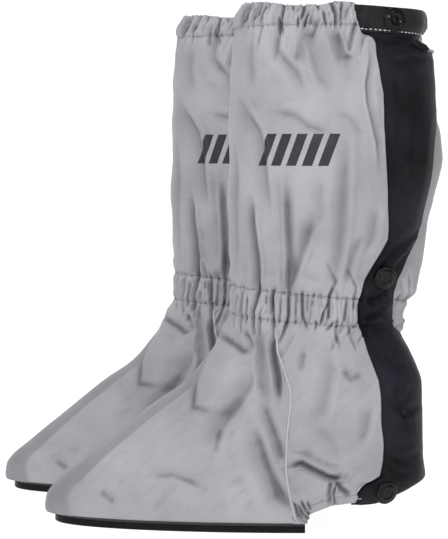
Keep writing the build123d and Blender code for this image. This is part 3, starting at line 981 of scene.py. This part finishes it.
def to_seam(row_z, seam, fade):
    """Moves the edge at row_z to a slanted seam, and leaves cloth further than fade from it alone."""
    def lift(x, z):
        share = 1 - np.clip(np.abs(z - row_z) / fade, 0, 1)
        return z + share * (seam(x) - row_z)
    return lift


def top_edge(x):
    """Height of the top edge, which dips in the middle and falls to the rear."""
    falling = (3.5 * smooth(-30, 0, x) * (1 - smooth(18, 32, x)) + 1.5 * smooth(20, 45, x)
               + 7 * smooth(48, 75, x))
    return 436.5 - falling


def tab_top(x):
    """Height of the upper edge of the black tab."""
    return 433.0 - 0.05 * (x - 45)


def heel_edge(x):
    """Height of the lower edge of the heel quarters."""
    places = [-20, 7.8, 10.5, 27.8, 42.8, 60, 80, 110]
    return np.interp(x, places, [8.3, 8.3, 17, 23.3, 24.6, 25.5, 30.5, 33])


def heel_row(x):
    """Height of the stitch row above the heel's lower edge."""
    return heel_edge(x) + 6.5


UNDER = {"depth": under_strip, "share": calm_under_strip}


def hidden_elastic(name, side, low, high, bodies, row_lift, columns):
    """The elastic inside a gathered hem: two bands, one on each side of the gaiter."""
    rows = steps_between(low, high, 1.0)
    ends = {"outer": (0.1, sewn_edge(rows, -7)), "inner": (FULL - 0.1, 3.5)}
    for (half, end), count in zip(ends.items(), columns):
        band = cloth(f"{name}_elastic_{half}", side, "elastic", rows, *end, count,
                     thickness=ELASTIC_BAND, depth=1.0, row_lift=row_lift, share=0.9)
        dress(band, side, bodies, ELASTIC, *([f"{name}_elastic"] if half == "outer" else []))


def build_leg(side):
    """Leg panels and top hem."""
    rows = steps_between(LEG_LOW, TOP_ROW_Z, 1.4)
    slant = to_seam(LEG_LOW, upper_row, 40)
    outer_look, inner_look = ("marked", "grey") if side == "left" else ("grey", "marked")
    panel = cloth("leg_panel_outer", side, outer_look, rows, FRONT, sewn_edge(rows), 230, row_lift=slant)
    inner = cloth("leg_panel_inner", side, inner_look, rows, FULL,
                  outer_side(np.maximum(sewn_x(rows) - 8, 52), rows), 330, row_lift=slant, **UNDER)

    rows = steps_between(TOP_ROW_Z, TOP_Z, 1.0)
    edge = between_rows(TOP_ROW_Z, TOP_Z, lambda x: TOP_ROW_Z + 0 * x, top_edge)
    hem = cloth("top_hem_outer", side, "grey", rows, FRONT, sewn_edge(rows), 230, thickness=TOP_HEM,
                row_lift=edge)
    hem_inner = cloth("top_hem_inner", side, "grey", rows, FULL, outer_side(54, rows), 330,
                      thickness=TOP_HEM, row_lift=edge, **UNDER)
    dress(panel, side, LEG_TO_FLAP, GREY, "leg_outer")
    dress(inner, side, LEG, GREY, "leg_inner")
    dress(hem, side, LEG, GREY, "top_hem")
    dress(hem_inner, side, LEG, GREY)
    hidden_elastic("top", side, 424, 435, LEG, edge, (230, 330))


def build_ankle(side):
    """The gathered band between leg and foot."""
    rows = steps_between(BAND_LOW, BAND_HIGH, 1.0)
    band = between_rows(BAND_LOW, BAND_HIGH, lower_row, upper_row)
    outer = cloth("ankle_band_outer", side, "grey", rows, FRONT, sewn_edge(rows), 230,
                  thickness=DOUBLE_CLOTH, row_lift=band)
    inner = cloth("ankle_band_inner", side, "grey", rows, FULL, sewn_edge(rows), 360,
                  thickness=DOUBLE_CLOTH, row_lift=band, **UNDER)
    dress(outer, side, OVER_ANKLE, GREY, "ankle_sleeve")
    dress(inner, side, OVER_ANKLE, GREY)
    hidden_elastic("ankle", side, 177, 195, OVER_ANKLE, band, (230, 360))


def build_vamp(side, slant):
    """The two halves of the vamp."""
    rows = steps_between(8.6, BAND_LOW, 1.4)
    seam = outer_side(side_seam_x(rows), rows)
    for name, start, end in (("vamp_outer", FRONT, seam), ("vamp_inner", FULL, FULL - seam)):
        half = cloth(name, side, "grey", rows, start, end, 190, row_lift=slant)
        dress(half, side, FOOT, GREY, name)


def build_heel(side, slant):
    """Heel quarters, and the heel's hem with its elastic."""
    heel_slant = to_seam(QUARTER_LOW, heel_row, 24)

    def quarter(x, z):
        return heel_slant(x, slant(x, z))

    rows = steps_between(QUARTER_LOW, BAND_LOW, 1.1)
    seam = outer_side(side_seam_x(rows), rows)
    outer = cloth("heel_quarter_outer", side, "grey", rows, seam, sewn_edge(rows), 120, row_lift=quarter)
    inner = cloth("heel_quarter_inner", side, "grey", rows, FULL - seam,
                  outer_side(np.maximum(sewn_x(rows) - 6, 52), rows), 240, row_lift=quarter, **UNDER)

    rows = steps_between(*HEEL_HEM, 0.8)
    hem_lift = between_rows(*HEEL_HEM, heel_edge, heel_row)
    seam = outer_side(side_seam_x(rows), rows)
    hem_outer = cloth("heel_hem_outer", side, "grey", rows, seam, sewn_edge(rows, 1), 90,
                      thickness=DOUBLE_CLOTH, row_lift=hem_lift)
    hem_inner = cloth("heel_hem_inner", side, "grey", rows, FULL - seam, outer_side(54, rows), 240,
                      thickness=DOUBLE_CLOTH, depth=hem_depth, row_lift=hem_lift, share=calm_under_strip)
    elastic = cloth("heel_elastic_band", side, "elastic", steps_between(21.5, 25, 0.9), FULL - 1.75, 3.5,
                    160, thickness=ELASTIC_BAND, depth=lambda phi, x, z: 0.9 + heel_tuck(x),
                    row_lift=hem_lift, share=0.9)
    dress(outer, side, FOOT_TO_FLAP, GREY, "heel_outer")
    dress(inner, side, FOOT, GREY, "heel_inner")
    dress(hem_outer, side, FOOT, GREY, "heel_hem")
    dress(hem_inner, side, FOOT, GREY)
    dress(elastic, side, FOOT, ELASTIC, "heel_elastic")


def build_foot(side):
    """Vamp, heel quarters and heel hem."""
    slant = to_seam(BAND_LOW, lower_row, 25)
    build_vamp(side, slant)
    build_heel(side, slant)


def build_strip(side):
    """The black closing strip, in its leg and heel parts, with its tab."""
    rows = steps_between(172, STRIP_TOP, 1.4)
    leg_strip = cloth("leg_strip_cloth", side, "black", rows, sewn_edge(rows, -TUCKED_UNDER),
                      outer_side(free_x(rows), rows), 56, depth=strip_depth, strip=True,
                      row_lift=to_seam(STRIP_TOP, tab_top, 20))
    rows = steps_between(22.2, 176.5, 1.2)
    tucked = TUCKED_UNDER * smooth(25, 34, rows)
    heel_strip = cloth("heel_strip_cloth", side, "black", rows,
                       outer_side(sewn_x(rows) + 0.5 - tucked, rows),
                       outer_side(free_x(rows), rows), 56, strip=True,
                       depth=lambda phi, x, z: strip_depth(phi, x, z) + 1.7 * smooth(158, 171, z))
    rows = steps_between(411, STRIP_TOP, 1.0)
    tab = cloth("top_tab_cloth", side, "glossy_black", rows, sewn_edge(rows, 0.6),
                outer_side(free_x(rows) + 1, rows), 60, thickness=1.6,
                depth=lambda phi, x, z: strip_depth(phi, x, z) - 1.3, strip=True,
                row_lift=to_seam(STRIP_TOP, lambda x: tab_top(x) + 0.4, 20))
    dress(leg_strip, side, LEG_TO_FLAP, BLACK, "leg_strip")
    dress(tab, side, LEG_TO_FLAP, BLACK, "top_tab")
    dress(heel_strip, side, FOOT_TO_FLAP, BLACK, "heel_strip")


def build_tapes(side):
    """Hook tapes behind the closing strip, and loop tapes on the underlap."""
    for part, low, high, base in TAPES:
        rows = steps_between(low, high, 1.6)
        ends = outer_side(72, rows), outer_side(free_x(rows) - 8, rows)
        hook = cloth(f"{part}_hook_strip", side, "hook", rows, *ends, 20, thickness=1.1,
                     depth=lambda phi, x, z: strip_depth(phi, x, z) + CLOTH, strip=True)
        dress(hook, side, (f"{part}_flap",), HOOK, f"{part}_hook_tape")
        loop = cloth(f"{part}_loop_strip", side, "loop", rows, *ends, 20, thickness=0.9,
                     depth=UNDERLAP - 0.8, share=UNDERLAP_RELIEF)
        dress(loop, side, (base,), LOOP, f"{part}_loop_tape")


# (radius, height) outlines of the press studs' parts
CAP = [(2.0, -2.2), (9.6, -0.6), (10.1, 0.0), (10.2, 0.7), (9.8, 1.2), (8.8, 1.6), (7.9, 1.5), (7.3, 1.7),
       (7.0, 2.3), (6.4, 2.8), (5.4, 3.0), (4.8, 2.8), (4.4, 2.2), (3.8, 1.9), (2.6, 2.0), (1.2, 2.3),
       (0.4, 2.3)]
SOCKET = [(3.0, 0.9), (5.6, 0.9), (6.0, 0.6), (6.0, -0.4), (5.4, -0.9), (4.2, -1.0), (3.5, -1.2),
          (3.0, -0.9)]
STUD = [(0.4, -0.6), (5.5, -0.6), (5.6, 0.1), (5.0, 0.6), (3.0, 0.8), (1.9, 1.1), (1.8, 1.5), (2.1, 1.9),
        (1.7, 2.3), (0.6, 2.5)]
# x, z, how far the cap is raised, and the part of the closing strip that it is on: top, ankle, heel
SNAPS = (78.0, 421.5, 1.4, "leg"), (72.5, 211.0, 0.0, "leg"), (75.0, 31.5, 0.0, "heel")


def ring(profile):
    """A turned ring, whose profile closes on itself."""
    vertices, faces = lathe(profile)
    segments = len(vertices) // len(profile)
    last = (len(profile) - 1) * segments
    sides = [(last + j, last + (j + 1) % segments, (j + 1) % segments, j) for j in range(segments)]
    return vertices, faces[:-2] + sides


def build_snaps(side):
    """Press studs: caps on the strip, sockets behind it, studs on the underlap."""
    parts = {(part, kind): [] for part in ("leg", "heel") for kind in ("cap", "socket", "stud")}
    for x, z, lift, part in SNAPS:
        phi = outer_side(x, z)
        depth = float(strip_depth(phi, np.array(x), np.array(z)))
        level, out = surface(phi, z, -depth, strip=True)
        parts[part, "cap"].append(set_on(lathe(CAP), level + out * lift, out))
        parts[part, "socket"].append(set_on(ring(SOCKET), level - out * (CLOTH + 0.6), out))
        base, base_out = surface(phi, z, -UNDERLAP, share=UNDERLAP_RELIEF)
        parts[part, "stud"].append(set_on(lathe(STUD), base, base_out))
    for (part, kind), made in parts.items():
        body = f"{part}_flap" if kind != "stud" else {"leg": "leg", "heel": "foot"}[part]
        node = f"{part}_snap_{kind}" + ("s" if part == "leg" else "")
        fitted(f"{part}_press_stud_{kind}s", side, made, "snap", SNAP, (body,), node)


def build_piping(side):
    """The raised binding along the seam between vamp and heel quarter."""
    z = np.linspace(12, 170, 130)
    x = side_seam_x(z)
    parts = []
    for phi in (outer_side(x, z), inner_side(x, z)):
        points, out = surface(phi, z, 0.35)
        radius = 0.85 * (1 + 0.12 * np.sin(z * 1.9) * np.sin(z * 0.31))
        parts.append(strand(points, out, radius, flat=0.75, sides=9))
    fitted("side_seam_piping", side, parts, "binding", BINDING, FOOT, "side_seam_bindings")


# piece, line from and to, spacing of its points, (length, gap, radius) of a stitch, whether it is on the
# strip, how far it is lifted, slot and bodies
WHITE_ROWS = (
    ("tab_threads", [(48, 413.8), (104, 411.4)], 1.0, (2.6, 1.6, 0.36), True, 0.9, BLACK,
     LEG_TO_FLAP),
    ("strip_end_threads", [(40.5, 434), (43.4, 418)], 0.8, (1.5, 0.8, 0.34), False, 0.12, GREY, LEG),
    ("heel_strip_threads", [(46.5, 27.6), (59, 27.8)], 0.8, (3.0, 0.7, 0.26), True, -1.0, BLACK,
     FOOT_TO_FLAP),
)


def build_threads(side):
    """Stitch rows."""
    x = np.linspace(-54, 42, 260)
    hem_row = TOP_ROW_Z + 0.2 + 0 * x
    grey = stitches(outer_side(x[1:], hem_row[1:]), hem_row[1:])
    back = np.linspace(FULL, float(outer_side(free_x(TOP_ROW_Z), TOP_ROW_Z)) + 0.1, 600)
    grey += stitches(back, np.full(600, TOP_ROW_Z + 0.2))
    fitted("hem_threads", side, grey, "grey_thread", GREY, LEG)

    rows = []
    for row in (upper_row, lower_row):
        x = np.linspace(-52, 48, 300)
        rows.append((outer_side(x[x < 46], row(x[x < 46])), row(x[x < 46])))
        phi = np.linspace(FULL, float(outer_side(free_x(185.0), 185.0)) + 0.12, 600)
        around, _ = skin_at(phi, np.full(600, 185.0))
        rows.append((phi, row(around)))
    parts = [stitch for phi, z in rows for stitch in stitches(phi, z, 2.2, 1.0, 0.25)]
    fitted("ankle_threads", side, parts, "grey_thread", GREY, OVER_ANKLE)

    x = np.linspace(1, 44, 90)
    foot = stitches(outer_side(x, heel_row(x)), heel_row(x))
    foot += stitches(inner_side(x, heel_row(x)), heel_row(x))
    fitted("heel_hem_threads", side, foot, "grey_thread", GREY, FOOT)

    for name, line, spacing, sizes, strip, lift, slot, bodies in WHITE_ROWS:
        x, z = along(line, spacing)
        white = stitches(outer_side(x, z), z, *sizes, strip=strip, lift=lift)
        fitted(name, side, white, "white_thread", slot, bodies)


def finish_cad_nodes(side):
    """Materials of the CAD pieces that are shown as they are."""
    for node, look in (("outsole", "rubber"), ("welt", "welt")):
        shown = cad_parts[f"{side}_{node}"]
        shown.data.materials.clear()
        shown.data.materials.append(M[look])


# ---------------------------------------------------------------- stage

WORLD_LIGHT = 0.2
# name, place, size and power
LAMPS = (
    ("key", (-0.75, -1.9, 1.75), 0.5, 49),
    ("fill", (1.3, -1.9, 0.9), 1.2, 8),
    ("top", (0.1, 0.3, 2.2), 1.0, 12),
)
# the floor: half its size, where it starts to bend up, the radius of the bend, and its own light
FLOOR_REACH = 7.0
BEND_START = 4.4
BEND_RADIUS = 1.2
FLOOR_GLOW = 0.93
# the camera: distance from the gaiter's centre plane, how much nearer its outer side is, width seen there
DISTANCE = 1.45
NEARER = 0.032
SEEN_WIDTH = 0.370048
SENSOR = 36
LOOKS_DOWN = 4.25


def build_stage():
    """A pale floor that bends up into a backdrop, and soft studio light."""
    bend = [(0.0, 0.0)] + [(math.sin(a), 1 - math.cos(a)) for a in np.linspace(0.05, math.pi / 2, 24)]
    line = [(-FLOOR_REACH, 0.0)]
    line += [(BEND_START + BEND_RADIUS * y, BEND_RADIUS * z) for y, z in bend]
    line += [(BEND_START + BEND_RADIUS, FLOOR_REACH)]
    vertices = [(x, y, z) for y, z in line for x in (-FLOOR_REACH, FLOOR_REACH)]
    faces = [(2 * i, 2 * i + 1, 2 * i + 3, 2 * i + 2) for i in range(len(line) - 1)]
    floor_mesh = bpy.data.meshes.new("floor")
    floor_mesh.from_pydata(vertices, [], faces)
    floor_mesh.shade_smooth()
    floor = bpy.data.objects.new("floor", floor_mesh)
    bpy.context.scene.collection.objects.link(floor)
    material, _, shader = new_material("floor_paper")
    shader.inputs["Base Color"].default_value = (0.3, 0.3, 0.3, 1)
    shader.inputs["Roughness"].default_value = 0.95
    shader.inputs["Emission Color"].default_value = (1, 1, 1, 1)
    shader.inputs["Emission Strength"].default_value = FLOOR_GLOW
    floor_mesh.materials.append(material)

    world = bpy.data.worlds.new("studio")
    world.use_nodes = True
    background = world.node_tree.nodes["Background"]
    background.inputs["Color"].default_value = (1, 1, 1, 1)
    background.inputs["Strength"].default_value = WORLD_LIGHT
    bpy.context.scene.world = world
    for name, place, size, power in LAMPS:
        light = bpy.data.lights.new(name, "AREA")
        light.size = size
        light.energy = power
        lamp = bpy.data.objects.new(name, light)
        lamp.location = place
        aim = mathutils.Vector((0, 0, 0.2)) - lamp.location
        lamp.rotation_euler = aim.to_track_quat("-Z", "Y").to_euler()
        bpy.context.scene.collection.objects.link(lamp)
    bpy.context.scene.view_settings.view_transform = "Standard"


def build_camera():
    """The camera stands square to the outer side of the left gaiter, a little above half its height."""
    x, y, _ = origin_of("left")
    camera = bpy.data.cameras.new("camera")
    camera.sensor_fit = "HORIZONTAL"
    camera.sensor_width = SENSOR
    camera.lens = SENSOR * (DISTANCE - NEARER) / SEEN_WIDTH
    made = bpy.data.objects.new("camera", camera)
    made.location = (x - 0.0605, y - DISTANCE, 0.3225)
    made.rotation_euler = (math.radians(90 - LOOKS_DOWN), 0, 0)
    bpy.context.scene.collection.objects.link(made)
    bpy.context.scene.camera = made


build_camera()
build_stage()
for side in SIDES:
    build_leg(side)
    build_ankle(side)
    build_foot(side)
    build_strip(side)
    build_tapes(side)
    build_snaps(side)
    build_piping(side)
    build_threads(side)
    finish_cad_nodes(side)
